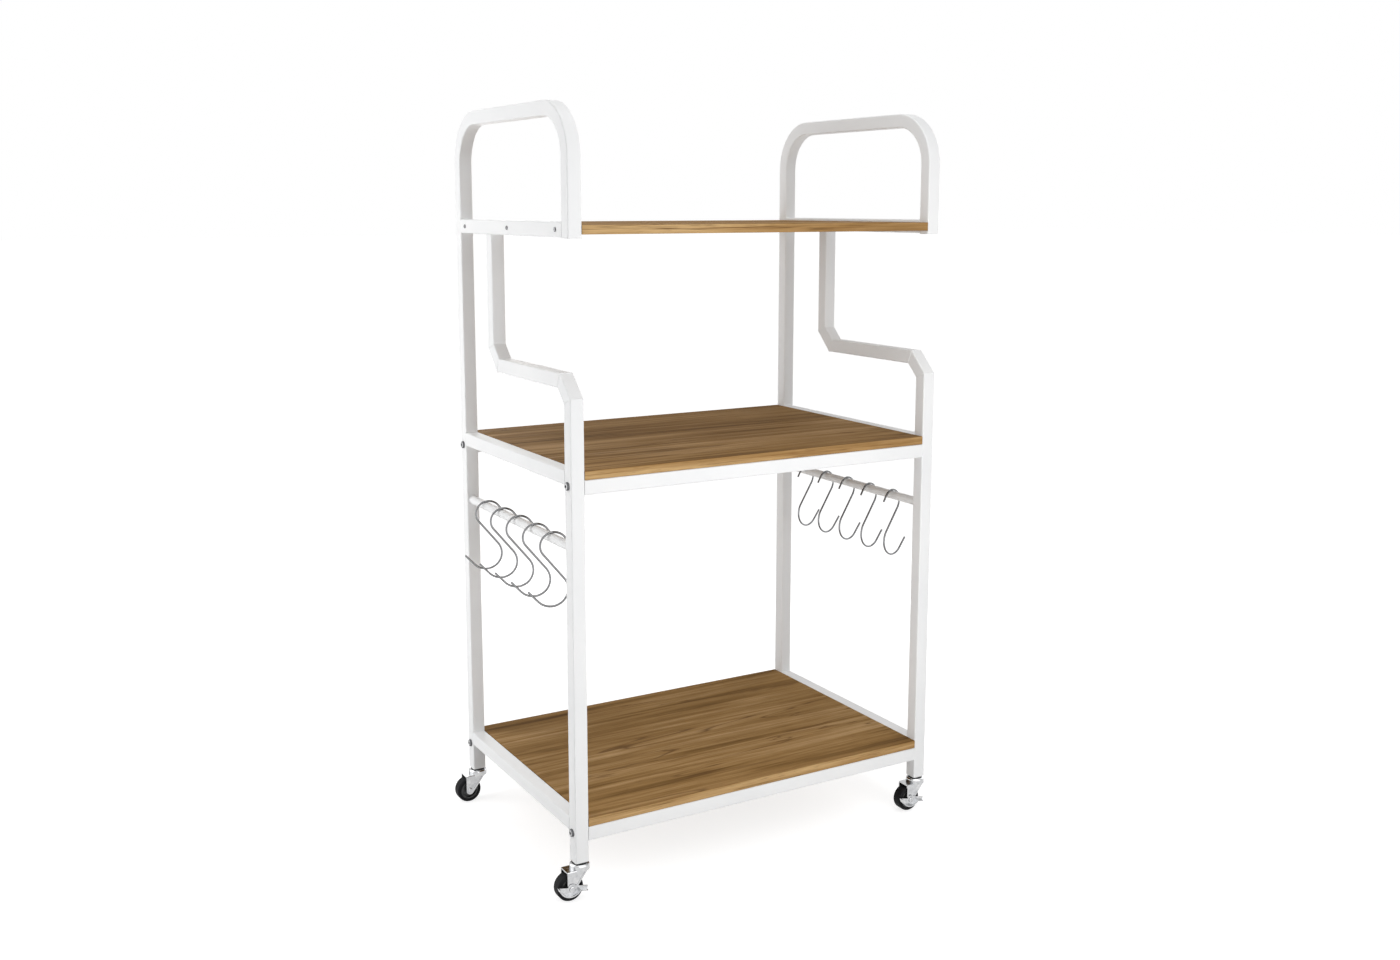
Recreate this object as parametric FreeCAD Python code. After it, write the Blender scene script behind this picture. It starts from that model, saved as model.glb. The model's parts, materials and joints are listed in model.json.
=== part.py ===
import FreeCAD, Part
import math
import os

# A rolling printer stand: two welded side frames of square tube, bolted together by four crossbars,
# with three wooden shelves, four swivel casters and a row of hooks on a bar at each side.
# Millimetres. +X right, +Y to the rear, +Z up. The origin is on the floor, midway between the legs.

# Frame, with its heights measured up from the legs' lower ends
stand_width = 600.0
stand_depth = 393.0
arch_top = 1014.0
arch_rise = 175.0
armrest_top = 664.0
middle_shelf_top = 538.0
hook_bar_height = 433.5
bottom_shelf_top = 61.0
upper_post_y = 68.5

# Square tube
tube = 20.0
tube_wall = 1.2
tube_corner = 2.0
arch_bend_radius = 65.0
armrest_chamfer = 25.0

# Shelves
board_thickness = 12.0
board_side_gap = 0.3
board_edge_round = 1.0

# Fasteners
thread_clearance = 0.05
bolt_radius = 3.0
bolt_hole_clearance = 0.25
bolt_head_radius = 5.5
bolt_head_height = 3.2
bolt_head_round = 1.6
bolt_socket_flats = 4.0
bolt_socket_depth = 1.8
bolt_grip = 22.0
bolt_rise = 2.5
rail_nut_length = 25.0
plug_clearance = 0.1
plug_corner = 1.0
screw_radius = 2.0
screw_hole_clearance = 0.2
screw_head_radius = 2.9
screw_head_height = 1.5
screw_head_round = 0.9
screw_recess_radius = 1.2
screw_recess_depth = 0.7
screw_bite = 18.0
top_screw_inset = 18.0
shelf_screw_inset = 100.0
shelf_screw_bite = 8.0
end_cap_flange = 1.0
end_cap_depth = 12.0

# Hook bars and S hooks
hook_bar_radius = 6.5
hook_bar_wall = 1.2
hook_count = 5
hook_spacing = 58.6
hook_row_y = 2.0
hook_turn = 15.7
hook_wire_radius = 1.5
hook_gap = 0.3
hook_upper_radius = 18.9
hook_upper_inset = 1.3
hook_lower_radius = 23.7
hook_lower_offset = 3.7
hook_drop = 95.3
hook_upper_end_angle = 144.0
hook_lower_end_angle = -43.6
hook_upper_tail = 10.8
hook_lower_tail = 20.5
hook_end_round = 0.8

# Casters
caster_height = 52.0
wheel_room = 3.0
tyre_width = 17.0
tyre_thickness = 5.0
tyre_shoulder = 3.0
tyre_seat_gap = 0.02
hub_rim_thickness = 2.5
hub_rim_inset = 1.0
hub_boss_radius = 6.0
hub_web_thickness = 9.0
hub_side_gap = 0.3
caster_trail = 17.0
axle_radius = 3.0
axle_running_clearance = 0.05
axle_head_radius = 4.2
axle_head_height = 1.3
axle_head_round = 0.9
fork_inner_half = 9.2
fork_sheet = 1.8
fork_plate_thickness = 2.0
fork_bend_round = 1.5
cheek_end_radius = 6.0
cheek_panel_depth = 0.5
cheek_panel_margin = 2.4
cheek_boss_radius = 5.3
cup_radius = 14.0
cup_height = 7.0
cup_wall = 1.4
cup_round = 3.4
swivel_clearance = 0.08
swivel_end_gap = 0.3
stem_neck_radius = 5.0
stem_shank_radius = 4.0
stem_shank_length = 20.0
kingpin_head_radius = 6.5
kingpin_head_height = 1.5
race_radius = 11.0
race_thickness = 1.5
ball_radius = 1.4
ball_gap = 0.3
ball_circle_radius = 8.5
balls_per_caster = 12
socket_flange_radius = 10.5
socket_flange_thickness = 1.6
socket_flange_gap = 0.4
socket_depth = 24.0

# Brake pedals on the two front casters
pedal_sheet = 1.5
pedal_gap = 0.3
pedal_left_reach = 22.0
pedal_right_reach = 12.0
pedal_sag = 11.5
pedal_rise = 2.0
pedal_rim_depth = 6.5
pedal_hub_radius = 7.0
pedal_tail_reach = 22.5
pedal_tail_low = -1.0
pedal_tail_high = 5.5
pedal_tail_ledge = 5.0
pedal_tilt = 12.0

# Places worked out from the sizes above, with heights above the floor
half_width = stand_width / 2
half_depth = stand_depth / 2
leg_x = half_width - tube / 2
leg_y = half_depth - tube / 2
inner_x = half_width - tube
inner_y = half_depth - tube
arch_top_z = caster_height + arch_top
top_rail_bottom = arch_top_z - arch_rise
top_rail_z = top_rail_bottom + tube / 2
armrest_z = caster_height + armrest_top - tube / 2
hook_bar_z = caster_height + hook_bar_height
tube_bore = tube - 2 * tube_wall
plug_side = tube_bore - 2 * plug_clearance
shelf_tops = {"bottom": caster_height + bottom_shelf_top, "middle": caster_height + middle_shelf_top}
crossbar_heights = {level: top - board_thickness - tube / 2 for level, top in shelf_tops.items()}
bolt_heights = {level: height + bolt_rise for level, height in crossbar_heights.items()}
socket_flange_bottom = caster_height - socket_flange_thickness
cup_top = socket_flange_bottom - socket_flange_gap
fork_plate_top = cup_top - cup_height
fork_plate_bottom = fork_plate_top - fork_plate_thickness
fork_outer_half = fork_inner_half + fork_sheet
fork_back_x = -caster_trail - cheek_end_radius
wheel_radius = (fork_plate_bottom - wheel_room) / 2
axle_z = wheel_radius
race_bottom = fork_plate_top + 2 * (ball_radius + ball_gap)
front_axle_reach = fork_outer_half + pedal_sheet + 2 * pedal_gap

SIDES = {"left": -1, "right": 1}
ENDS = {"front": -1, "rear": 1}
AXIS_X = FreeCAD.Vector(1, 0, 0)
AXIS_Y = FreeCAD.Vector(0, 1, 0)
AXIS_Z = FreeCAD.Vector(0, 0, 1)


def point(x, y, z):
    return FreeCAD.Vector(x, y, z)


def cylinder(radius, start, direction, length):
    return Part.makeCylinder(radius, length, start, direction)


def box(low, high):
    size = high.sub(low)
    return Part.makeBox(size.x, size.y, size.z, low)


def fuse(solids):
    return solids[0].multiFuse(solids[1:]).removeSplitter()


def turned(profile):
    """A solid of revolution about +Z from (radius, height) corners."""
    corners = [point(radius, 0, height) for radius, height in profile]
    face = Part.Face(Part.makePolygon(corners + corners[:1]))
    return face.revolve(point(0, 0, 0), AXIS_Z, 360)


def rounded_square(side, corner):
    """A square wire with round corners, centred in the XY plane."""
    half = side / 2
    flat = half - corner
    slant = flat + corner * math.sqrt(0.5)
    edges = []
    for turn in range(4):
        line = Part.makeLine(point(half, -flat, 0), point(half, flat, 0))
        arc = Part.Arc(point(half, flat, 0), point(slant, slant, 0), point(flat, half, 0)).toShape()
        for edge in (line, arc):
            edge.rotate(point(0, 0, 0), AXIS_Z, 90 * turn)
            edges.append(edge)
    return Part.Wire(edges)


def tube_section(start, direction, side_axis):
    """The hollow tube section as a face at a point, square to a direction."""
    bore_corner = max(tube_corner - tube_wall, tube_wall / 2)
    bore = Part.Face(rounded_square(tube_bore, bore_corner))
    face = Part.Face(rounded_square(tube, tube_corner)).cut(bore).Faces[0]
    turn = FreeCAD.Rotation(side_axis, direction.cross(side_axis), direction, "ZXY")
    face.Placement = FreeCAD.Placement(start, turn)
    return face


def tube_run(start, end, side_axis=AXIS_X):
    along = end.sub(start)
    return tube_section(start, along.normalize(), side_axis).extrude(end.sub(start))


def half_space(corner, outward):
    """A block that fills one side of the plane through a point."""
    reach = 4 * tube
    block = Part.makeBox(2 * reach, 2 * reach, reach, point(-reach, -reach, 0))
    block.Placement = FreeCAD.Placement(corner, FreeCAD.Rotation(AXIS_Z, outward))
    return block


def mitred_tube(corners):
    """Straight tube runs cut at each corner on the plane that halves the turn."""
    steps = [b.sub(a).normalize() for a, b in zip(corners, corners[1:])]
    runs = []
    for index, step in enumerate(steps):
        start, end = corners[index], corners[index + 1]
        first, last = index == 0, index == len(steps) - 1
        run = tube_run(start if first else start.sub(step * tube), end if last else end.add(step * tube))
        if not first:
            run = run.cut(half_space(start, (steps[index - 1].add(step)).negative()))
        if not last:
            run = run.cut(half_space(end, step.add(steps[index + 1])))
        runs.append(run)
    return fuse(runs)


def bolt_hole_in_leg(x, y, height):
    reach = bolt_head_height + tube
    return cylinder(bolt_radius + bolt_hole_clearance, point(x - reach, y, height), AXIS_X, 2 * reach)


def arch_tube(side):
    """The rear leg, bent over the top shelf and down to the front end of the top rail."""
    x = side * leg_x
    top_z = arch_top_z - tube / 2
    bend_z = top_z - arch_bend_radius
    bend_y = leg_y - arch_bend_radius
    rear_bend = tube_section(point(x, leg_y, bend_z), AXIS_Z, AXIS_X)
    front_bend = tube_section(point(x, -bend_y, top_z), AXIS_Y.negative(), AXIS_X)
    whole = fuse([
        tube_run(point(x, leg_y, caster_height), point(x, leg_y, bend_z)),
        rear_bend.revolve(point(x, bend_y, bend_z), AXIS_X, 90),
        tube_run(point(x, bend_y, top_z), point(x, -bend_y, top_z)),
        front_bend.revolve(point(x, -bend_y, bend_z), AXIS_X, 90),
        tube_run(point(x, -leg_y, bend_z), point(x, -leg_y, top_rail_bottom)),
    ])
    return whole.cut([bolt_hole_in_leg(x, leg_y, height) for height in bolt_heights.values()])


def armrest_tube(side):
    """The post under the top rail, stepped forward through a level armrest into the front leg."""
    x = side * leg_x
    whole = mitred_tube([
        point(x, upper_post_y, top_rail_bottom),
        point(x, upper_post_y, armrest_z + armrest_chamfer),
        point(x, upper_post_y - armrest_chamfer, armrest_z),
        point(x, -leg_y + armrest_chamfer, armrest_z),
        point(x, -leg_y, armrest_z - armrest_chamfer),
        point(x, -leg_y, caster_height),
    ])
    return whole.cut([bolt_hole_in_leg(x, -leg_y, height) for height in bolt_heights.values()])


def side_rail(side, height):
    x = side * leg_x
    return tube_run(point(x, -inner_y, height), point(x, inner_y, height))


def top_screw_places():
    last = inner_y - top_screw_inset
    return [-last, 0.0, last]


def top_rail(side):
    hole_radius = screw_radius + screw_hole_clearance
    start_x = side * (half_width + tube_wall)
    inward = AXIS_X * -side
    holes = [
        cylinder(hole_radius, point(start_x, y, top_rail_z), inward, tube + 2 * tube_wall)
        for y in top_screw_places()
    ]
    return side_rail(side, top_rail_z).cut(holes)


def shelf_screw_points(level):
    height = crossbar_heights[level] - tube / 2
    reach_x = inner_x - shelf_screw_inset
    return [point(x, y, height) for x in (-reach_x, reach_x) for y in (-leg_y, leg_y)]


def crossbar(end, level):
    height = crossbar_heights[level]
    y = end * leg_y
    bar = tube_run(point(-inner_x, y, height), point(inner_x, y, height), AXIS_Y)
    hole_radius = screw_radius + screw_hole_clearance
    spots = [spot for spot in shelf_screw_points(level) if spot.y * end > 0]
    drilled = tube + 2 * tube_wall
    holes = [cylinder(hole_radius, spot.sub(AXIS_Z * tube_wall), AXIS_Z, drilled) for spot in spots]
    return bar.cut(holes)


def hook_bar(side):
    start = point(side * leg_x, -inner_y, hook_bar_z)
    outside = cylinder(hook_bar_radius, start, AXIS_Y, 2 * inner_y)
    inside = cylinder(hook_bar_radius - hook_bar_wall, start, AXIS_Y, 2 * inner_y)
    return outside.cut(inside)


def board(top):
    """A shelf between the side rails, with its long front and rear edges eased."""
    reach_x = inner_x - board_side_gap
    slab = box(point(-reach_x, -half_depth, top - board_thickness), point(reach_x, half_depth, top))
    long_edges = [edge for edge in slab.Edges if edge.BoundBox.XLength > reach_x]
    return slab.makeFillet(min(board_edge_round, board_thickness / 3), long_edges)


def lower_shelf(level):
    pilot = screw_radius + thread_clearance
    depth = shelf_screw_bite + thread_clearance
    holes = [cylinder(pilot, spot.add(AXIS_Z * tube), AXIS_Z, depth) for spot in shelf_screw_points(level)]
    return board(shelf_tops[level]).cut(holes)


def top_shelf():
    pilot = screw_radius + thread_clearance
    depth = screw_bite + board_side_gap + thread_clearance
    holes = [
        cylinder(pilot, point(side * inner_x, y, top_rail_z), AXIS_X * -side, depth)
        for side in SIDES.values()
        for y in top_screw_places()
    ]
    return board(top_rail_z + board_thickness / 2).cut(holes)


def domed_head(radius, height, rounding, seat, direction):
    """A round head that stands on a face at a point, with its outer rim rounded."""
    head = cylinder(radius, seat, direction, height)
    middle = seat.add(direction * (height / 2))
    rim = [e for e in head.Edges if e.Closed and e.CenterOfMass.sub(middle).dot(direction) > 0]
    return head.makeFillet(min(rounding, 3 * height / 4), rim)


def frame_bolt(side, end, level):
    """A button-head bolt from outside a leg into the nut in a crossbar's end, a little above its middle."""
    head = domed_head(bolt_head_radius, bolt_head_height, bolt_head_round, point(0, 0, 0), AXIS_Z)
    corner = bolt_socket_flats / math.sqrt(3)
    hexagon = Part.makePolygon([
        point(corner * math.cos(math.radians(a)), corner * math.sin(math.radians(a)), bolt_head_height)
        for a in range(0, 361, 60)
    ])
    head = head.cut(Part.Face(hexagon).extrude(point(0, 0, -bolt_socket_depth)))
    shank = cylinder(bolt_radius, point(0, 0, 0), AXIS_Z.negative(), tube + bolt_grip)
    bolt = head.fuse(shank)
    outward = AXIS_X * side
    bolt.Placement = FreeCAD.Placement(
        point(side * half_width, end * leg_y, bolt_heights[level]), FreeCAD.Rotation(AXIS_Z, outward)
    )
    return bolt


def square_plug(centre, direction, length):
    """A solid plug that slides into the tube's bore."""
    face = Part.Face(rounded_square(plug_side, plug_corner))
    plug = face.extrude(AXIS_Z * length)
    plug.Placement = FreeCAD.Placement(centre, FreeCAD.Rotation(AXIS_Z, direction))
    return plug


def rail_nut(side, end, level):
    """A plug in a crossbar's end, with the threaded bore for a bolt."""
    x, y = side * inner_x, end * leg_y
    inward = AXIS_X * -side
    plug = square_plug(point(x, y, crossbar_heights[level]), inward, rail_nut_length)
    bore_radius = bolt_radius + thread_clearance
    return plug.cut(cylinder(bore_radius, point(x, y, bolt_heights[level]), inward, rail_nut_length))


def wood_screw(seat, direction, length):
    """A pan-head screw whose head rests on a face at a point."""
    head = domed_head(screw_head_radius, screw_head_height, screw_head_round, seat, direction.negative())
    top = seat.sub(direction * screw_head_height)
    head = head.cut(cylinder(screw_recess_radius, top, direction, screw_recess_depth))
    return head.fuse(cylinder(screw_radius, seat, direction, length))


def end_cap(side):
    """A plug with a thin flange that closes the front end of an arch."""
    centre = point(side * leg_x, -leg_y, top_rail_bottom)
    flange = Part.Face(rounded_square(tube, tube_corner)).extrude(AXIS_Z * end_cap_flange)
    flange.translate(centre.sub(AXIS_Z * end_cap_flange))
    return flange.fuse(square_plug(centre, AXIS_Z, end_cap_depth))


def hook_wire_path(side, y):
    """The S hook's centre line: two loops and the straight stem that touches both.

    The hook hangs turned about the vertical, so that its lower tip points a little to the rear.
    """
    turn = math.radians(hook_turn)
    seat = hook_upper_radius - hook_wire_radius - hook_bar_radius - hook_gap
    upper = (-hook_upper_inset, -math.sqrt(seat ** 2 - hook_upper_inset ** 2))
    lower = (hook_lower_offset, hook_lower_radius - hook_drop)
    run = (lower[0] - upper[0], lower[1] - upper[1])
    lean = math.degrees(math.acos((hook_upper_radius + hook_lower_radius) / math.hypot(*run)))
    stem_angle = math.degrees(math.atan2(run[1], run[0])) + lean

    def place(outward, up):
        x = leg_x + outward * math.cos(turn)
        return point(side * x, y + outward * math.sin(turn), hook_bar_z + up)

    def on_loop(centre, radius, angle, tail=0.0):
        c, s = math.cos(math.radians(angle)), math.sin(math.radians(angle))
        return place(centre[0] + radius * c - tail * s, centre[1] + radius * s + tail * c)

    def loop(centre, radius, first, last):
        stops = [on_loop(centre, radius, angle) for angle in (first, (first + last) / 2, last)]
        return Part.Arc(*stops).toShape()

    upper_tip = on_loop(upper, hook_upper_radius, hook_upper_end_angle, hook_upper_tail)
    upper_end = on_loop(upper, hook_upper_radius, hook_upper_end_angle)
    stem_top = on_loop(upper, hook_upper_radius, stem_angle)
    stem_foot = on_loop(lower, hook_lower_radius, stem_angle + 180)
    lower_end = on_loop(lower, hook_lower_radius, hook_lower_end_angle)
    lower_tip = on_loop(lower, hook_lower_radius, hook_lower_end_angle, hook_lower_tail)
    return Part.Wire([
        Part.makeLine(upper_tip, upper_end),
        loop(upper, hook_upper_radius, hook_upper_end_angle, stem_angle),
        Part.makeLine(stem_top, stem_foot),
        loop(lower, hook_lower_radius, stem_angle + 180, hook_lower_end_angle + 360),
        Part.makeLine(lower_end, lower_tip),
    ])


def hook(side, y):
    path = hook_wire_path(side, y)
    first = path.OrderedVertexes[0].Point
    onward = path.OrderedVertexes[1].Point.sub(first)
    ring = Part.Wire(Part.makeCircle(hook_wire_radius, first, onward))
    wire = path.makePipeShell([ring], True, False)
    tips = [path.OrderedVertexes[0].Point, path.OrderedVertexes[-1].Point]

    def at_a_tip(edge):
        return any(edge.CenterOfMass.distanceToPoint(tip) < hook_wire_radius for tip in tips)

    rims = [edge for edge in wire.Edges if edge.Closed and at_a_tip(edge)]
    return wire.makeFillet(min(hook_end_round, hook_wire_radius / 2), rims)


def hook_places():
    first = hook_row_y - hook_spacing * (hook_count - 1) / 2
    return [first + index * hook_spacing for index in range(hook_count)]


def caster_socket():
    """The plug in a leg's end that the caster's stem is pushed into."""
    flange_height = caster_height - socket_flange_bottom
    flange = cylinder(socket_flange_radius, point(0, 0, socket_flange_bottom), AXIS_Z, flange_height)
    plug = square_plug(point(0, 0, caster_height), AXIS_Z, socket_depth)
    bore_radius = stem_shank_radius + thread_clearance
    bore = cylinder(bore_radius, point(0, 0, 0), AXIS_Z, caster_height + socket_depth)
    return flange.fuse(plug).cut(bore)


def caster_stem():
    """The fixed pin of a caster: shank, neck, ball race and the riveted end under the fork."""
    rivet_top = fork_plate_bottom - swivel_end_gap
    race_top = race_bottom + race_thickness
    return turned([
        (0, rivet_top - kingpin_head_height),
        (kingpin_head_radius, rivet_top - kingpin_head_height),
        (kingpin_head_radius, rivet_top),
        (stem_shank_radius, rivet_top),
        (stem_shank_radius, race_bottom),
        (race_radius, race_bottom),
        (race_radius, race_top),
        (stem_neck_radius, race_top),
        (stem_neck_radius, socket_flange_bottom),
        (stem_shank_radius, socket_flange_bottom),
        (stem_shank_radius, caster_height + stem_shank_length),
        (0, caster_height + stem_shank_length),
    ])


def swivel_balls():
    ball_z = fork_plate_top + ball_gap + ball_radius
    ball = Part.makeSphere(ball_radius, point(ball_circle_radius, 0, ball_z))
    balls = []
    for index in range(balls_per_caster):
        one = ball.copy()
        one.rotate(point(0, 0, 0), AXIS_Z, 360 * index / balls_per_caster)
        balls.append(one)
    return balls


def cheek_outline(end_radius, margin, y):
    """The fork's cheek as a face: straight down behind, round the axle and up a slant in front."""
    front_x = math.sqrt(cup_radius ** 2 - fork_outer_half ** 2) - margin
    run = (front_x + caster_trail, fork_plate_top - axle_z)
    slant = math.atan2(run[1], run[0]) - math.acos(end_radius / math.hypot(*run))
    low = (slant - math.pi) / 2

    def rim(angle):
        return point(-caster_trail + end_radius * math.cos(angle), y, axle_z + end_radius * math.sin(angle))

    back = point(-caster_trail - end_radius, y, axle_z)
    back_top = point(back.x, y, fork_plate_top)
    front_top = point(front_x, y, fork_plate_top)
    return Part.Face(Part.Wire([
        Part.makeLine(back_top, back),
        Part.Arc(back, rim(low), rim(slant)).toShape(),
        Part.makeLine(rim(slant), front_top),
        Part.makeLine(front_top, back_top),
    ]))


def cheek(end):
    """One side of the fork, with a shallow pressed panel down to a boss round the axle."""
    outer_y = end * fork_outer_half
    inward = AXIS_Y * -end
    plate = cheek_outline(cheek_end_radius, 0, outer_y).extrude(inward * fork_sheet)
    panel = cheek_outline(cheek_end_radius - cheek_panel_margin, cheek_panel_margin, outer_y)
    panel = panel.extrude(inward * cheek_panel_depth)
    boss = cylinder(cheek_boss_radius, point(-caster_trail, outer_y, axle_z), inward, cheek_panel_depth)
    border_low = point(fork_back_x, -fork_outer_half, fork_plate_top - cheek_panel_margin)
    border = box(border_low, point(cup_radius, fork_outer_half, fork_plate_top))
    return plate.cut(panel.cut([boss, border]))


def swivel_cup():
    """The pressed cup on top of the fork that holds the ball race."""
    block = cylinder(cup_radius, point(0, 0, fork_plate_top), AXIS_Z, cup_top - fork_plate_top)
    crown = [e for e in block.Edges if e.Closed and e.BoundBox.ZMin > fork_plate_top + cup_wall]
    block = block.makeFillet(cup_round, crown)
    room_radius = cup_radius - cup_wall
    room = cylinder(room_radius, point(0, 0, fork_plate_top), AXIS_Z, cup_top - cup_wall - fork_plate_top)
    crown = [e for e in room.Edges if e.Closed and e.BoundBox.ZMin > fork_plate_top + cup_wall]
    room = room.makeFillet(cup_round - cup_wall, crown)
    mouth = cylinder(stem_neck_radius + swivel_clearance, point(0, 0, fork_plate_top), AXIS_Z, cup_top)
    return block.cut([room, mouth])


def fork_bends(saddle):
    """The two long edges where the fork's plate turns down into its cheeks."""
    inner_edge = (fork_inner_half + fork_outer_half) / 2

    def is_bend(edge):
        room = edge.BoundBox
        on_top = room.ZMin > (fork_plate_bottom + fork_plate_top) / 2
        outside = room.YMin > inner_edge or room.YMax < -inner_edge
        return on_top and outside and room.XLength > caster_trail

    return [edge for edge in saddle.Edges if is_bend(edge)]


def caster_fork():
    corner = point(fork_back_x, -fork_outer_half, fork_plate_bottom)
    plate = box(corner, point(0, fork_outer_half, fork_plate_top))
    saddle = fuse([plate, cheek(-1), cheek(1)])
    saddle = saddle.makeFillet(min(fork_bend_round, 3 * fork_sheet / 4), fork_bends(saddle))
    seat = cylinder(cup_radius, point(0, 0, fork_plate_bottom), AXIS_Z, fork_plate_thickness)
    kingpin_bore = stem_shank_radius + swivel_clearance
    crown = fuse([saddle, seat]).cut(cylinder(kingpin_bore, point(0, 0, 0), AXIS_Z, fork_plate_top))
    whole = fuse([crown, swivel_cup()])
    axle_start = point(-caster_trail, -2 * fork_outer_half, axle_z)
    return whole.cut(cylinder(axle_radius + thread_clearance, axle_start, AXIS_Y, 4 * fork_outer_half))


def caster_axle(front_reach):
    """The riveted axle: its rear head lies on the fork, its front head at a given reach."""
    start = point(-caster_trail, -front_reach, axle_z)
    shaft = cylinder(axle_radius, start, AXIS_Y, front_reach + fork_outer_half)
    rear_seat = point(-caster_trail, fork_outer_half, axle_z)
    front_head = domed_head(axle_head_radius, axle_head_height, axle_head_round, start, AXIS_Y.negative())
    rear_head = domed_head(axle_head_radius, axle_head_height, axle_head_round, rear_seat, AXIS_Y)
    return fuse([shaft, front_head, rear_head])


def on_axle(solid):
    """Turns a solid made about +Z onto the axle, centred between the cheeks."""
    solid.Placement = FreeCAD.Placement(
        point(-caster_trail, 0, axle_z), FreeCAD.Rotation(AXIS_Z, AXIS_Y)
    )
    return solid


def wheel_hub():
    bore = axle_radius + axle_running_clearance
    rim = wheel_radius - tyre_thickness - tyre_seat_gap
    rim_half = tyre_width / 2 - hub_rim_inset
    boss_half = fork_inner_half - hub_side_gap
    web_half = hub_web_thickness / 2
    rim_bore = rim - hub_rim_thickness
    upper = [
        (bore, boss_half),
        (hub_boss_radius, boss_half),
        (hub_boss_radius, web_half),
        (rim_bore, web_half),
        (rim_bore, rim_half),
        (rim, rim_half),
    ]
    lower = [(radius, -height) for radius, height in reversed(upper)]
    return on_axle(turned(upper + lower))


def tyre():
    half = tyre_width / 2
    seat = wheel_radius - tyre_thickness
    ring = turned([(seat, -half), (wheel_radius, -half), (wheel_radius, half), (seat, half)])
    middle = (seat + wheel_radius) / 2
    treads = [edge for edge in ring.Edges if edge.Closed and edge.Curve.Radius > middle]
    return on_axle(ring.makeFillet(min(tyre_shoulder, 3 * tyre_thickness / 4), treads))


def brake_pedal():
    """A half-moon foot pedal with a raised rim, hung on the axle's front end, and a tab at its tail."""
    inner_y = -fork_outer_half - pedal_gap
    half_chord = (pedal_left_reach + pedal_right_reach) / 2
    arc_radius = (half_chord ** 2 + pedal_sag ** 2) / (2 * pedal_sag)
    middle_x = (pedal_right_reach - pedal_left_reach) / 2
    arc_z = pedal_rise - pedal_sag + arc_radius
    axle = point(-caster_trail, 0, axle_z)
    outward = AXIS_Y.negative()

    def disc(radius, depth):
        return cylinder(radius, axle.add(point(middle_x, inner_y, arc_z)), outward, depth)

    def plate(low_x, low_z, high_x, high_z, depth):
        low = axle.add(point(low_x, inner_y - depth, low_z))
        return box(low, axle.add(point(high_x, inner_y, high_z)))

    reach = 2 * arc_radius
    above = plate(-reach, pedal_rise, reach, arc_z + reach, 2 * pedal_rim_depth)
    moon = disc(arc_radius, pedal_sheet).cut(above)
    rim = disc(arc_radius, pedal_rim_depth).cut(disc(arc_radius - pedal_sheet, pedal_rim_depth)).cut(above)
    hub = cylinder(pedal_hub_radius, axle.add(point(0, inner_y, 0)), outward, pedal_sheet)
    tail = plate(0, pedal_tail_low, pedal_tail_reach, pedal_tail_high, pedal_sheet)
    ledge_x = pedal_right_reach + pedal_sheet
    ledge = plate(ledge_x, pedal_tail_low, pedal_tail_reach, pedal_tail_low + pedal_sheet, pedal_tail_ledge)
    whole = fuse([moon, rim, hub, tail, ledge])
    bore = cylinder(axle_radius + swivel_clearance, axle.add(point(0, inner_y, 0)), outward, pedal_sheet)
    whole = whole.cut(bore)
    whole.rotate(axle, AXIS_Y, pedal_tilt)
    return whole


def moved(shape, x, y):
    shape.translate(point(x, y, 0))
    return shape


def export(name, shape):
    shape.exportStep("parts/" + name + ".step")


def export_group(name, solids):
    export(name, Part.makeCompound(solids))


def corners():
    """Each leg's name and the place of its caster."""
    return [
        (end_name + "_" + side_name, side * leg_x, end * leg_y)
        for end_name, end in ENDS.items()
        for side_name, side in SIDES.items()
    ]


def export_side_frames():
    for name, side in SIDES.items():
        export(name + "_arch_tube", arch_tube(side))
        export(name + "_armrest_tube", armrest_tube(side))
        export(name + "_top_rail", top_rail(side))
        for level, top in shelf_tops.items():
            export(name + "_" + level + "_rail", side_rail(side, top - tube / 2))
        export(name + "_hook_bar", hook_bar(side))
    export_group("arch_end_caps", [end_cap(side) for side in SIDES.values()])


def export_crossbars_and_shelves():
    for end_name, end in ENDS.items():
        for level in shelf_tops:
            export(end_name + "_" + level + "_crossbar", crossbar(end, level))
    for level in shelf_tops:
        export(level + "_shelf", lower_shelf(level))
    export("top_shelf", top_shelf())


def export_fasteners():
    joints = [
        (side, end, level)
        for side in SIDES.values()
        for end in ENDS.values()
        for level in shelf_tops
    ]
    export_group("frame_bolts", [frame_bolt(*joint) for joint in joints])
    export_group("crossbar_nuts", [rail_nut(*joint) for joint in joints])
    top_length = tube + board_side_gap + screw_bite
    export_group("top_shelf_screws", [
        wood_screw(point(side * half_width, y, top_rail_z), AXIS_X * -side, top_length)
        for side in SIDES.values()
        for y in top_screw_places()
    ])
    export_group("lower_shelf_screws", [
        wood_screw(spot, AXIS_Z, tube + shelf_screw_bite)
        for level in shelf_tops
        for spot in shelf_screw_points(level)
    ])


def export_casters():
    export_group("caster_sockets", [moved(caster_socket(), x, y) for name, x, y in corners()])
    export_group("swivel_balls", [moved(ball, x, y) for name, x, y in corners() for ball in swivel_balls()])
    for name, x, y in corners():
        braked = name.startswith("front")
        export(name + "_caster_stem", moved(caster_stem(), x, y))
        export(name + "_caster_fork", moved(caster_fork(), x, y))
        front_reach = front_axle_reach if braked else fork_outer_half
        export(name + "_caster_axle", moved(caster_axle(front_reach), x, y))
        export(name + "_wheel_hub", moved(wheel_hub(), x, y))
        export(name + "_tyre", moved(tyre(), x, y))
        if braked:
            export(name + "_brake_pedal", moved(brake_pedal(), x, y))


def export_hooks():
    for name, side in SIDES.items():
        for number, y in enumerate(hook_places(), start=1):
            export(name + "_hook_" + str(number), hook(side, y))


os.makedirs("parts", exist_ok=True)
export_side_frames()
export_crossbars_and_shelves()
export_fasteners()
export_casters()
export_hooks()
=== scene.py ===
import json
import math
import random

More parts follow.
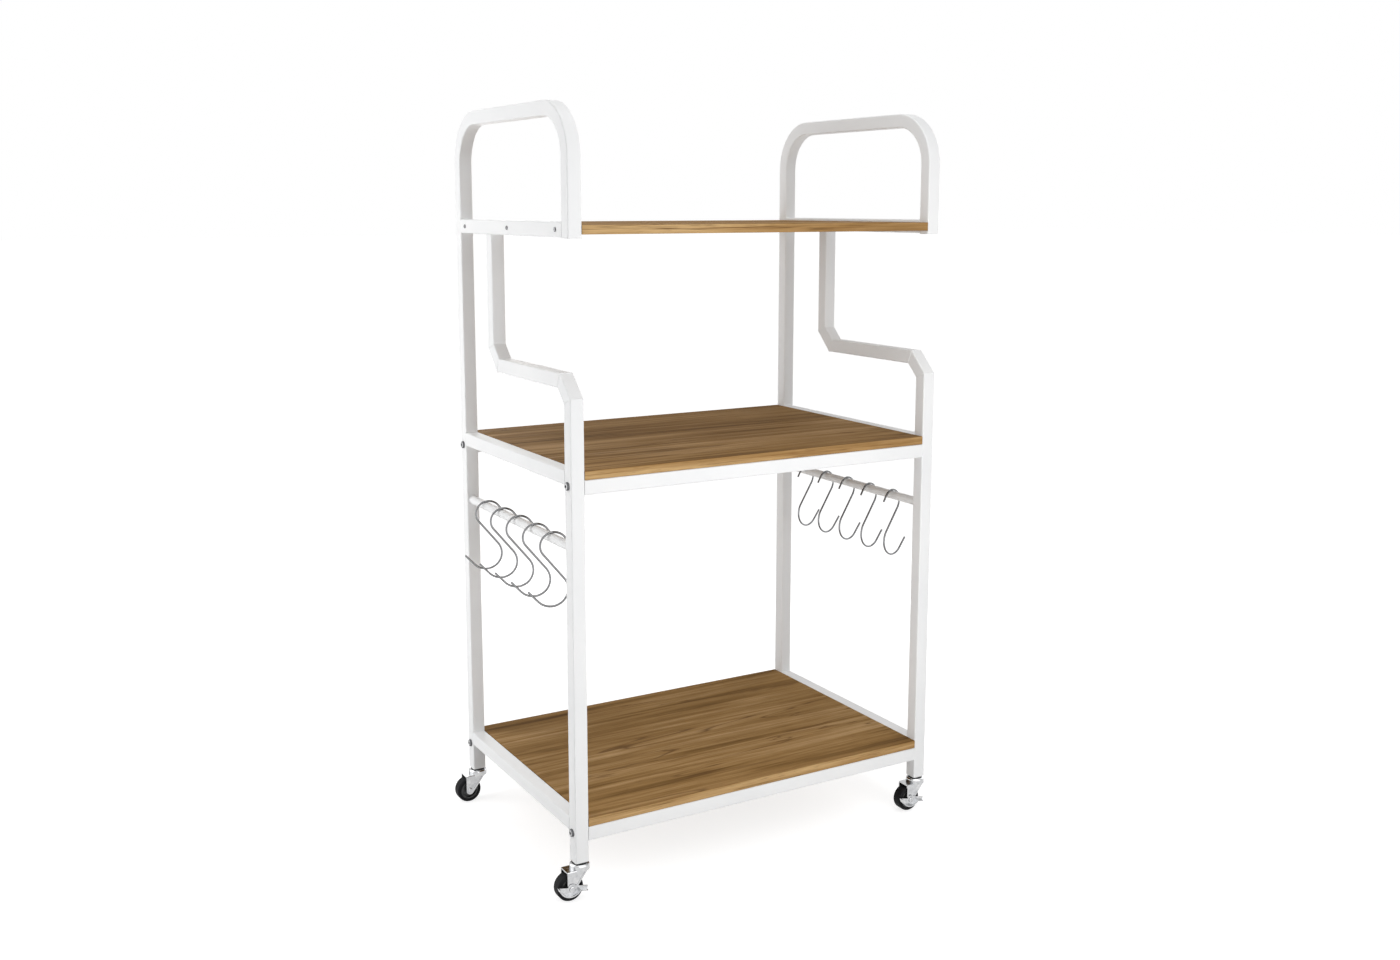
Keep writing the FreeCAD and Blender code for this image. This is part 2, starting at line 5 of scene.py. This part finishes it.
import bpy
from mathutils import Euler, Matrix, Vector


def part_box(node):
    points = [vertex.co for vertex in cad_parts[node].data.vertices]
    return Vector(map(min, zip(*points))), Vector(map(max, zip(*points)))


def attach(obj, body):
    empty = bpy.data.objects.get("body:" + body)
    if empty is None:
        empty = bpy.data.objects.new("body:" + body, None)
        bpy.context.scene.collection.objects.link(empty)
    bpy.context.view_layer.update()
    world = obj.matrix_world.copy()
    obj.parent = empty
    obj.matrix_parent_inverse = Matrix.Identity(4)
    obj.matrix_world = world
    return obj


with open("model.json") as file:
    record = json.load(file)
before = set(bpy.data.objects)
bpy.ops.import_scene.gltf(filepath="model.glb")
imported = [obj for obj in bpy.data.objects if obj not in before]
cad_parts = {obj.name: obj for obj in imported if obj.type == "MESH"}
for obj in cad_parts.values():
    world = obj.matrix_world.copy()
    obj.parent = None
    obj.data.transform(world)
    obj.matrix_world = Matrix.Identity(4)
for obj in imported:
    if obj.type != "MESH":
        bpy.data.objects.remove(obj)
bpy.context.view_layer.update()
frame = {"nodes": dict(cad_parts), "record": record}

# The photograph's frame in pixels, and where the camera's optical axis meets it
PHOTO_SIZE = (1400, 960)
PHOTO_AXIS = (689.3, 421.9)

# The camera's place in metres, its turn and dip in degrees, and its lens in millimetres
CAMERA_PLACE = (-1.0606, -1.8184, 0.9314)
CAMERA_TURN = 30.026
CAMERA_DIP = 8.751
SENSOR_WIDTH = 36.0
LENS = 36.15

# Sizes of the frame, in metres
TUBE = 0.020
TUBE_CORNER = 0.002
ARMREST_CHAMFER = 0.025

# Weld beads, in metres
BEAD_RADIUS = 0.0009
BEAD_STEP = 0.0012
BEAD_TAPER = 0.004
MITRE_BEAD_RADIUS = 0.0006

# The share by which a bead's radius ripples, its share of radius at an open end, and its smoothness
BEAD_RIPPLE = 0.14
BEAD_TIP = 0.2
BEAD_SMOOTHNESS = 3
WELD_SEED = 7

# Single colours of the materials, linear
WOOD_FIBRE = (0.45, 0.36, 0.28)
WOOD_VEIN = (0.105, 0.050, 0.017)
WOOD_PORE = (0.110, 0.055, 0.020)
HEAD_RIM = (0.110, 0.111, 0.116)
# The paler crown colour of a head is a painted highlight.
HEAD_CROWN_HIGHLIGHT = (0.500, 0.502, 0.510)
RUBBER_SCUFF = (0.030, 0.029, 0.028)

# The range that most of a noise lies in
NOISE_LOW = 0.3
NOISE_HIGH = 0.7

# The sockets of a Mix node that blends two colours
MIX_INPUTS = (0, 6, 7)
MIX_RESULT = 2

SIDES = ("left", "right")


class Graph:
    """A material's node tree, with short calls that add its nodes."""

    def __init__(self, name):
        self.material = bpy.data.materials.new(name)
        self.material.use_nodes = True
        self.tree = self.material.node_tree
        self.shader = self.tree.nodes["Principled BSDF"]
        self.place = self.add("ShaderNodeTexCoord").outputs["Object"]

    def add(self, kind, inputs=None, **settings):
        node = self.tree.nodes.new(kind)
        for key, value in settings.items():
            setattr(node, key, value)
        for key, value in (inputs or {}).items():
            self.feed(node.inputs[key], value)
        return node

    def feed(self, socket, value):
        if isinstance(value, bpy.types.NodeSocket):
            self.tree.links.new(value, socket)
        else:
            socket.default_value = value

    def set(self, **inputs):
        """Feeds the shader's sockets, named with underscores for spaces."""
        for key, value in inputs.items():
            self.feed(self.shader.inputs[key.replace("_", " ")], value)

    def stretched(self, scale):
        """The object's own coordinates in metres, times a scale for each axis."""
        inputs = {0: self.place, 1: scale}
        return self.add("ShaderNodeVectorMath", inputs, operation="MULTIPLY").outputs[0]

    def noise(self, scale, detail=2.0, roughness=0.5, distortion=0.0):
        inputs = {"Vector": self.stretched(scale), "Scale": 1.0, "Detail": detail,
                  "Roughness": roughness, "Distortion": distortion}
        return self.add("ShaderNodeTexNoise", inputs).outputs["Fac"]

    def span(self, value, low, high, to_low=0.0, to_high=1.0):
        inputs = {"Value": value, "From Min": low, "From Max": high, "To Min": to_low, "To Max": to_high}
        return self.add("ShaderNodeMapRange", inputs).outputs["Result"]

    def spread(self, noise, low, high):
        """A noise's usual range, spread from low to high."""
        return self.span(noise, NOISE_LOW, NOISE_HIGH, low, high)

    def sum(self, *values):
        total = values[0]
        for value in values[1:]:
            total = self.math("ADD", total, value)
        return total

    def math(self, operation, first, second=0.0):
        return self.add("ShaderNodeMath", {0: first, 1: second}, operation=operation).outputs[0]

    def ramp(self, value, stops):
        node = self.add("ShaderNodeValToRGB", {"Fac": value})
        elements = node.color_ramp.elements
        while len(elements) < len(stops):
            elements.new(1.0)
        for element, (place, colour) in zip(elements, stops):
            element.position = place
            element.color = (*colour, 1.0)
        return node.outputs["Color"]

    def mix(self, share, first, second, blend="MIX"):
        node = self.add("ShaderNodeMix", data_type="RGBA", blend_type=blend)
        for index, value in zip(MIX_INPUTS, (share, first, second)):
            self.feed(node.inputs[index], (*value, 1.0) if isinstance(value, tuple) else value)
        return node.outputs[MIX_RESULT]

    def lean(self, axis):
        """How far the surface faces along one of the object's axes, either way."""
        normal = self.add("ShaderNodeTexCoord").outputs["Normal"]
        parts = self.add("ShaderNodeSeparateXYZ", {0: normal}).outputs
        return self.math("ABSOLUTE", parts[axis])

    def bump(self, height, distance, strength):
        inputs = {"Height": height, "Distance": distance, "Strength": strength}
        self.set(Normal=self.add("ShaderNodeBump", inputs).outputs["Normal"])


def even(scale):
    return (scale, scale, scale)


def powder_coat():
    """Satin white powder coat with a fine orange peel."""
    g = Graph("white_powder_coat")
    tone = g.noise(even(7), detail=4)
    g.set(Base_Color=g.ramp(tone, [
        (0.35, (0.815, 0.820, 0.825)),
        (0.65, (0.850, 0.852, 0.852)),
    ]))
    g.set(Roughness=g.spread(g.noise(even(260), detail=3), 0.44, 0.56))
    peel = g.noise(even(650), detail=1.5)
    grain = g.noise(even(2600), detail=1)
    g.bump(g.sum(peel, g.math("MULTIPLY", grain, 0.35)), distance=0.00012, strength=0.35)
    return g.material


def wood_laminate():
    """Brown wood-grain laminate, its grain along X, with paler edge banding at the front and rear, and a
    top coloured darker than the laminate itself, painted shade.
    """
    g = Graph("wood_laminate")
    broad = g.noise((1.3, 11, 31), detail=2, distortion=0.4)
    streak = g.noise((2.6, 75, 62), detail=5, roughness=0.62, distortion=0.6)
    fibre = g.noise((16, 760, 760), detail=3, roughness=0.6)
    vein = g.noise((1.1, 24, 40), detail=3, roughness=0.5, distortion=0.8)
    pore = g.noise((40, 1300, 1300), detail=1)
    figure = g.sum(g.math("MULTIPLY", broad, 0.40), g.math("MULTIPLY", streak, 0.60))
    # The top's ramp is darker than the laminate's own colour, painted shade; the paler edge ramp is the
    # laminate's edge colour.
    top = g.ramp(figure, [
        (0.35, (0.111, 0.056, 0.017)),
        (0.45, (0.251, 0.141, 0.047)),
        (0.54, (0.348, 0.207, 0.081)),
        (0.64, (0.503, 0.325, 0.156)),
    ])
    edge = g.ramp(figure, [
        (0.38, (0.320, 0.178, 0.064)),
        (0.49, (0.465, 0.284, 0.120)),
        (0.60, (0.610, 0.405, 0.192)),
    ])
    on_edge = g.span(g.lean("Y"), 0.55, 0.80)
    colour = g.mix(on_edge, top, edge)
    fine = g.span(fibre, 0.38, 0.62, 0.0, 0.34)
    colour = g.mix(fine, colour, WOOD_FIBRE, blend="MULTIPLY")
    line = g.math("ABSOLUTE", g.math("SUBTRACT", vein, 0.5))
    dark_line = g.math("MULTIPLY", g.span(line, 0.0, 0.012, 0.75, 0.0), g.span(broad, 0.40, 0.56))
    colour = g.mix(dark_line, colour, WOOD_VEIN)
    dark_pore = g.span(pore, 0.62, 0.72, 0.0, 0.45)
    colour = g.mix(dark_pore, colour, WOOD_PORE)
    g.set(Base_Color=colour)
    g.set(Roughness=g.spread(fibre, 0.56, 0.70))
    g.set(Specular_IOR_Level=0.02)
    g.bump(g.math("SUBTRACT", fibre, g.math("MULTIPLY", dark_pore, 0.8)), distance=0.00010, strength=0.5)
    return g.material


def white_plastic():
    """Matt white moulded plastic."""
    g = Graph("white_plastic")
    g.set(Base_Color=g.ramp(g.noise(even(60), detail=3), [
        (0.3, (0.78, 0.78, 0.78)),
        (0.7, (0.83, 0.83, 0.82)),
    ]))
    g.set(Roughness=g.spread(g.noise(even(900)), 0.45, 0.60))
    g.bump(g.noise(even(2400), detail=2), distance=0.00008, strength=0.4)
    return g.material


def dark_steel():
    """Dark zinc plate, with a painted highlight on a head's flat crown and left dark on its rounded rim."""
    g = Graph("dark_steel")
    crown = g.span(g.lean("X"), 0.90, 0.985)
    # The crown facing along X is painted paler, a painted highlight, its share varied by noise.
    crown_highlight = g.math("MULTIPLY", crown, g.span(g.noise(even(900), detail=4), 0.35, 0.65, 0.55, 1.0))
    g.set(Base_Color=g.mix(crown_highlight, HEAD_RIM, HEAD_CROWN_HIGHLIGHT))
    g.set(Metallic=0.8)
    g.set(Roughness=g.spread(g.noise(even(1500), detail=2), 0.28, 0.46))
    g.bump(g.noise(even(3000), detail=2), distance=0.00005, strength=0.4)
    return g.material


def zinc_steel():
    """Bright zinc plate on pressed steel, with faint rolling lines and cloudy passivation."""
    g = Graph("zinc_steel")
    cloud = g.noise(even(130), detail=4, roughness=0.6)
    g.set(Base_Color=g.ramp(cloud, [
        (0.30, (0.43, 0.436, 0.448)),
        (0.55, (0.54, 0.545, 0.553)),
        (0.75, (0.64, 0.638, 0.631)),
    ]))
    g.set(Metallic=1.0)
    lines = g.noise((220, 220, 3600), detail=2)
    g.set(Roughness=g.sum(g.spread(lines, 0.12, 0.24), g.span(cloud, 0.4, 0.8, 0.0, 0.08)))
    g.bump(lines, distance=0.00004, strength=0.35)
    return g.material


def bright_steel():
    """Polished steel wire with fine drawing marks along it."""
    g = Graph("bright_steel")
    marks = g.noise((2600, 2600, 160), detail=3)
    g.set(Base_Color=g.ramp(marks, [
        (0.3, (0.135, 0.137, 0.141)),
        (0.7, (0.215, 0.215, 0.218)),
    ]))
    g.set(Metallic=1.0)
    g.set(Roughness=g.spread(marks, 0.08, 0.20))
    g.bump(marks, distance=0.00003, strength=0.3)
    return g.material


def black_plastic():
    """Moulded black plastic with a fine spark texture."""
    g = Graph("black_plastic")
    g.set(Base_Color=g.ramp(g.noise(even(220), detail=4), [
        (0.3, (0.012, 0.012, 0.013)),
        (0.7, (0.026, 0.026, 0.027)),
    ]))
    g.set(Roughness=g.spread(g.noise(even(700), detail=2), 0.34, 0.52))
    g.bump(g.noise(even(3200), detail=2), distance=0.00008, strength=0.5)
    return g.material


def black_rubber():
    """Black rubber tread with a light bloom and scuffs round the rolling face."""
    g = Graph("black_rubber")
    bloom = g.noise(even(150), detail=5, roughness=0.65)
    scuff = g.noise((900, 90, 900), detail=3)
    colour = g.ramp(bloom, [
        (0.35, (0.005, 0.005, 0.006)),
        (0.70, (0.014, 0.014, 0.015)),
    ])
    g.set(Base_Color=g.mix(g.span(scuff, 0.60, 0.75, 0.0, 0.5), colour, RUBBER_SCUFF))
    g.set(Roughness=g.spread(bloom, 0.50, 0.72))
    g.set(Specular_IOR_Level=0.10)
    g.bump(g.sum(scuff, g.noise(even(2600), detail=2)), distance=0.00010, strength=0.4)
    return g.material


def dress_nodes(materials):
    """Gives each CAD node the material of its slot."""
    for part in frame["record"]["subparts"]:
        mesh = frame["nodes"][part["node"]].data
        mesh.materials.clear()
        mesh.materials.append(materials[part["material_slot"]])


def straight(start, end):
    """Points a bead's step apart between two points."""
    run = end - start
    count = max(2, round(run.length / BEAD_STEP))
    return [start + run * (index / count) for index in range(count + 1)]


def ring(middle, radius):
    """Points round a bar that runs along Y."""
    count = round(2 * math.pi * radius / BEAD_STEP)
    turns = [2 * math.pi * index / count for index in range(count)]
    return [middle + Vector((math.cos(t), 0, math.sin(t))) * radius for t in turns]


def rail_beads(side, rail):
    """Lines of weld above and below a side rail, where its ends meet the legs."""
    low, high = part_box(f"{side}_{rail}_rail")
    first, last = low.x + TUBE_CORNER, high.x - TUBE_CORNER
    return [
        straight(Vector((first, y, z)), Vector((last, y, z)))
        for y in (low.y, high.y)
        for z in (low.z, high.z)
    ]


def post_beads(side):
    """Lines of weld before and behind the upper post, under the top rail."""
    low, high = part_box(f"{side}_armrest_tube")
    rear = high.y
    first, last = low.x + TUBE_CORNER, high.x - TUBE_CORNER
    return [
        straight(Vector((first, y, high.z)), Vector((last, y, high.z)))
        for y in (rear - TUBE, rear)
    ]


def bar_beads(side):
    """Rings of weld where the hook bar meets the legs."""
    low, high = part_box(f"{side}_hook_bar")
    middle = (low + high) / 2
    radius = (high.z - low.z) / 2
    return [ring(Vector((middle.x, y, middle.z)), radius) for y in (low.y, high.y)]


def mitre_ring(corner, across, up):
    """Points round the tube's section in the plane of a mitre, which leans along up."""
    half = TUBE / 2
    flat = half - TUBE_CORNER
    outline = []
    for turn in range(4):
        angle = math.radians(90 * turn)
        c, s = math.cos(angle), math.sin(angle)
        for a, b in ((half, -flat), (half, flat)):
            outline.append((a * c - b * s, a * s + b * c))
    return [corner + across * a + up * b for a, b in outline]


def armrest_height(side):
    """The height of the armrest's centre line, read from the front end of the tube's level run."""
    node = f"{side}_armrest_tube"
    low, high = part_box(node)
    middle = (low.y + high.y) / 2
    top = max(v.co.z for v in frame["nodes"][node].data.vertices if v.co.y < middle)
    return top - TUBE / 2


def mitre_beads(side):
    """Fine seams round the stepped tube at its four mitres."""
    low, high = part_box(f"{side}_armrest_tube")
    x = (low.x + high.x) / 2
    front_y, post_y = low.y + TUBE / 2, high.y - TUBE / 2
    rest_z = armrest_height(side)
    path = [
        Vector((x, post_y, high.z)),
        Vector((x, post_y, rest_z + ARMREST_CHAMFER)),
        Vector((x, post_y - ARMREST_CHAMFER, rest_z)),
        Vector((x, front_y + ARMREST_CHAMFER, rest_z)),
        Vector((x, front_y, rest_z - ARMREST_CHAMFER)),
        Vector((x, front_y, low.z)),
    ]
    rings = []
    for before, corner, after in zip(path, path[1:], path[2:]):
        first, second = (corner - before).normalized(), (after - corner).normalized()
        along = (first + second).normalized()
        up = Vector((1, 0, 0)).cross(along)
        stretch = 1 / math.cos(first.angle(second) / 2)
        rings.append(mitre_ring(corner, Vector((1, 0, 0)), up * stretch))
    return rings


def bead_swell(index, count):
    """The share of its full radius that an open bead has at one of its knots, less near its ends."""
    from_end = min(index, count - 1 - index) * BEAD_STEP
    return min(1.0, BEAD_TIP + from_end / BEAD_TAPER)


def beads(name, paths, radius, material, closed=False, ripple=0.0):
    """One curve object with a round bead along each path."""
    dice = random.Random(WELD_SEED)
    curve = bpy.data.curves.new(name, "CURVE")
    curve.dimensions = "3D"
    curve.bevel_depth = radius
    curve.bevel_resolution = BEAD_SMOOTHNESS
    curve.use_fill_caps = True
    for path in paths:
        spline = curve.splines.new("POLY")
        spline.points.add(len(path) - 1)
        spline.use_cyclic_u = closed
        for index, (knot, place) in enumerate(zip(spline.points, path)):
            knot.co = (*place, 1.0)
            swell = 1.0 if closed else bead_swell(index, len(path))
            knot.radius = swell * (1.0 + ripple * (dice.random() - 0.5 + (index % 2)))
    curve.materials.append(material)
    piece = bpy.data.objects.new(name, curve)
    bpy.context.scene.collection.objects.link(piece)
    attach(piece, "frame")


def add_welds(material):
    for side in SIDES:
        lines = [path for rail in ("top", "middle", "bottom") for path in rail_beads(side, rail)]
        beads(f"{side}_rail_welds", lines + post_beads(side), BEAD_RADIUS, material, ripple=BEAD_RIPPLE)
        beads(f"{side}_bar_welds", bar_beads(side), BEAD_RADIUS, material, closed=True, ripple=BEAD_RIPPLE)
        beads(f"{side}_mitre_seams", mitre_beads(side), MITRE_BEAD_RADIUS, material, closed=True)


# The floor's half width, and how far off it starts and stops growing paler, in metres
FLOOR_HALF = 40.0
FLOOR_NEAR = 0.55
FLOOR_FAR = 1.40

# The floor's colour to the lamps and to the eye, the glow that whitens it, and the sky's light
FLOOR_COLOUR = 0.80
FLOOR_SHOWN_COLOUR = 0.50
FLOOR_GLOW_NEAR = 0.76
FLOOR_GLOW_FAR = 1.0
SKY_LIGHT = 0.10

# Each soft box's place, the point it faces and its size in metres, and its power in watts
LEFT_LAMP = (-1.15, 0.38, 0.85)
LEFT_AIM = (-0.3, 0, 0.75)
LEFT_SIZE = (1.0, 1.7)
LEFT_POWER = 11.9
FRONT_LAMP = (0.00, -0.80, 0.63)
FRONT_AIM = (0, 0, 0.5)
FRONT_SIZE = (1.3, 1.6)
FRONT_POWER = 9.0
TOP_LAMP = (0.0, -0.2, 2.4)
TOP_AIM = (0, 0, 0.6)
TOP_SIZE = (1.4, 1.4)
TOP_POWER = 13.0
RIGHT_LAMP = (1.6, 0.35, 0.85)
RIGHT_AIM = (0.3, 0, 0.75)
RIGHT_SIZE = (1.0, 1.6)
RIGHT_POWER = 13.0
BACK_LAMP = (0.15, 1.5, 0.95)
BACK_AIM = (0.15, 0, 0.75)
BACK_SIZE = (0.5, 1.6)
BACK_POWER = 5.0


def seen_rays(tree):
    """One for a ray that shows the background: from the camera, off a gloss, or through something clear."""
    path = tree.nodes.new("ShaderNodeLightPath")
    total = path.outputs["Is Camera Ray"]
    for kind in ("Is Glossy Ray", "Is Transmission Ray"):
        either = tree.nodes.new("ShaderNodeMath")
        either.operation = "MAXIMUM"
        tree.links.new(total, either.inputs[0])
        tree.links.new(path.outputs[kind], either.inputs[1])
        total = either.outputs[0]
    return total


def add_floor():
    """A pale floor that keeps the stand's soft shadow and is seen as white farther off."""
    mesh = bpy.data.meshes.new("floor")
    corners = [(-FLOOR_HALF, -FLOOR_HALF, 0), (FLOOR_HALF, -FLOOR_HALF, 0),
               (FLOOR_HALF, FLOOR_HALF, 0), (-FLOOR_HALF, FLOOR_HALF, 0)]
    mesh.from_pydata(corners, [], [(0, 1, 2, 3)])
    floor = bpy.data.objects.new("floor", mesh)
    bpy.context.scene.collection.objects.link(floor)
    material = bpy.data.materials.new("floor")
    material.use_nodes = True
    tree = material.node_tree
    tree.nodes.clear()

    def node(kind, **inputs):
        made = tree.nodes.new(kind)
        for key, value in inputs.items():
            made.inputs[key.replace("_", " ")].default_value = value
        return made

    place = node("ShaderNodeTexCoord")
    reach = node("ShaderNodeVectorMath")
    reach.operation = "LENGTH"
    strength = node("ShaderNodeMapRange", From_Min=FLOOR_NEAR, From_Max=FLOOR_FAR,
                    To_Min=FLOOR_GLOW_NEAR, To_Max=FLOOR_GLOW_FAR)
    strength.interpolation_type = "SMOOTHSTEP"
    plain = node("ShaderNodeBsdfDiffuse", Color=(*even(FLOOR_COLOUR), 1))
    shown = node("ShaderNodeBsdfDiffuse", Color=(*even(FLOOR_SHOWN_COLOUR), 1))
    glow = node("ShaderNodeEmission", Color=(1, 1, 1, 1))
    both = node("ShaderNodeAddShader")
    choice = node("ShaderNodeMixShader")
    output = node("ShaderNodeOutputMaterial")
    tree.links.new(place.outputs["Object"], reach.inputs[0])
    tree.links.new(reach.outputs["Value"], strength.inputs["Value"])
    tree.links.new(strength.outputs[0], glow.inputs["Strength"])
    tree.links.new(shown.outputs[0], both.inputs[0])
    tree.links.new(glow.outputs[0], both.inputs[1])
    tree.links.new(seen_rays(tree), choice.inputs[0])
    tree.links.new(plain.outputs[0], choice.inputs[1])
    tree.links.new(both.outputs[0], choice.inputs[2])
    tree.links.new(choice.outputs[0], output.inputs["Surface"])
    mesh.materials.append(material)


def add_sky():
    """A soft even light all round, seen as plain white."""
    world = bpy.data.worlds.new("studio")
    world.use_nodes = True
    bpy.context.scene.world = world
    tree = world.node_tree
    background = tree.nodes["Background"]
    background.inputs["Color"].default_value = (1, 1, 1, 1)
    strength = tree.nodes.new("ShaderNodeMapRange")
    strength.inputs["To Min"].default_value = SKY_LIGHT
    strength.inputs["To Max"].default_value = 1.0
    tree.links.new(seen_rays(tree), strength.inputs["Value"])
    tree.links.new(strength.outputs[0], background.inputs["Strength"])


def add_softbox(name, place, target, size, power):
    data = bpy.data.lights.new(name, "AREA")
    data.shape = "RECTANGLE"
    data.size, data.size_y = size
    data.energy = power
    lamp = bpy.data.objects.new(name, data)
    lamp.location = place
    lamp.rotation_euler = (Vector(target) - Vector(place)).to_track_quat("-Z", "Y").to_euler()
    lamp.visible_camera = False
    bpy.context.scene.collection.objects.link(lamp)


def add_lights():
    """Soft boxes on all four sides and one overhead."""
    add_softbox("left_softbox", LEFT_LAMP, LEFT_AIM, LEFT_SIZE, LEFT_POWER)
    add_softbox("front_softbox", FRONT_LAMP, FRONT_AIM, FRONT_SIZE, FRONT_POWER)
    add_softbox("top_softbox", TOP_LAMP, TOP_AIM, TOP_SIZE, TOP_POWER)
    add_softbox("right_softbox", RIGHT_LAMP, RIGHT_AIM, RIGHT_SIZE, RIGHT_POWER)
    add_softbox("back_softbox", BACK_LAMP, BACK_AIM, BACK_SIZE, BACK_POWER)


def add_camera():
    data = bpy.data.cameras.new("camera")
    data.sensor_width = SENSOR_WIDTH
    data.lens = LENS
    data.shift_x = (PHOTO_SIZE[0] / 2 - PHOTO_AXIS[0]) / PHOTO_SIZE[0]
    data.shift_y = (PHOTO_AXIS[1] - PHOTO_SIZE[1] / 2) / PHOTO_SIZE[0]
    camera = bpy.data.objects.new("camera", data)
    camera.location = CAMERA_PLACE
    camera.rotation_euler = Euler((math.radians(90 - CAMERA_DIP), 0, math.radians(-CAMERA_TURN)))
    bpy.context.scene.collection.objects.link(camera)
    bpy.context.scene.camera = camera


MATERIALS = {
    "white_powder_coat": powder_coat(),
    "wood_laminate": wood_laminate(),
    "white_plastic": white_plastic(),
    "dark_steel": dark_steel(),
    "zinc_steel": zinc_steel(),
    "bright_steel": bright_steel(),
    "black_plastic": black_plastic(),
    "black_rubber": black_rubber(),
}
dress_nodes(MATERIALS)
add_welds(MATERIALS["white_powder_coat"])
add_floor()
add_sky()
add_lights()
add_camera()
bpy.context.scene.view_settings.view_transform = "Standard"
